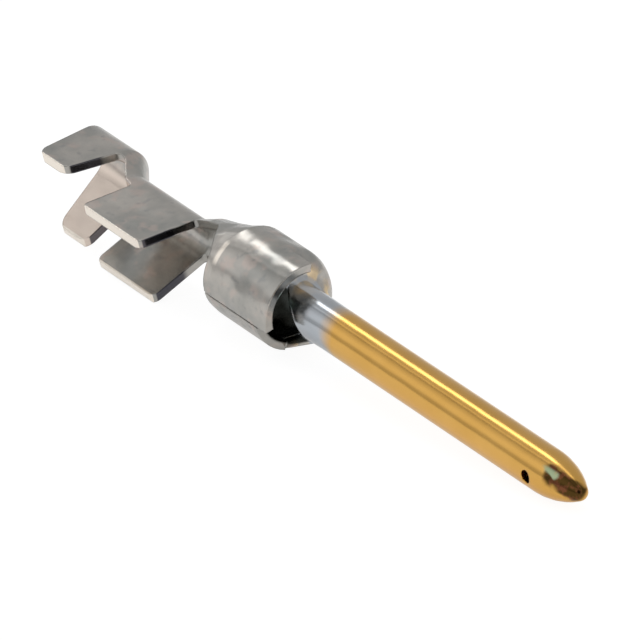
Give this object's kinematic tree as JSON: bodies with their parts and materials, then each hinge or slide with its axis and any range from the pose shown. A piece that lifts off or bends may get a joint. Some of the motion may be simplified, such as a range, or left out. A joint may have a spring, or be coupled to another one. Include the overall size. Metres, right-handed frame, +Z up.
{
  "type": "crimp pin contact",
  "caption": "Stamped and rolled crimp contact: open wire and insulation crimps, a round barrel with a shoulder, and a slim pin closed to a pointed nose.",
  "frame": {"origin": "centre of the bounding box on the table that the contact lies on", "axes": "+X towards the tip of the pin, which points slightly down because the nose rests on the table; the crimps open towards -Y; +Z is up"},
  "size_m": [0.0186, 0.0028, 0.0024],
  "materials": {
    "plated_strip": "bright nickel plate over copper alloy, with a gold-plated pin"
  },
  "bodies": {
    "root": {"contact": "plated_strip"}
  },
  "joints": []
}
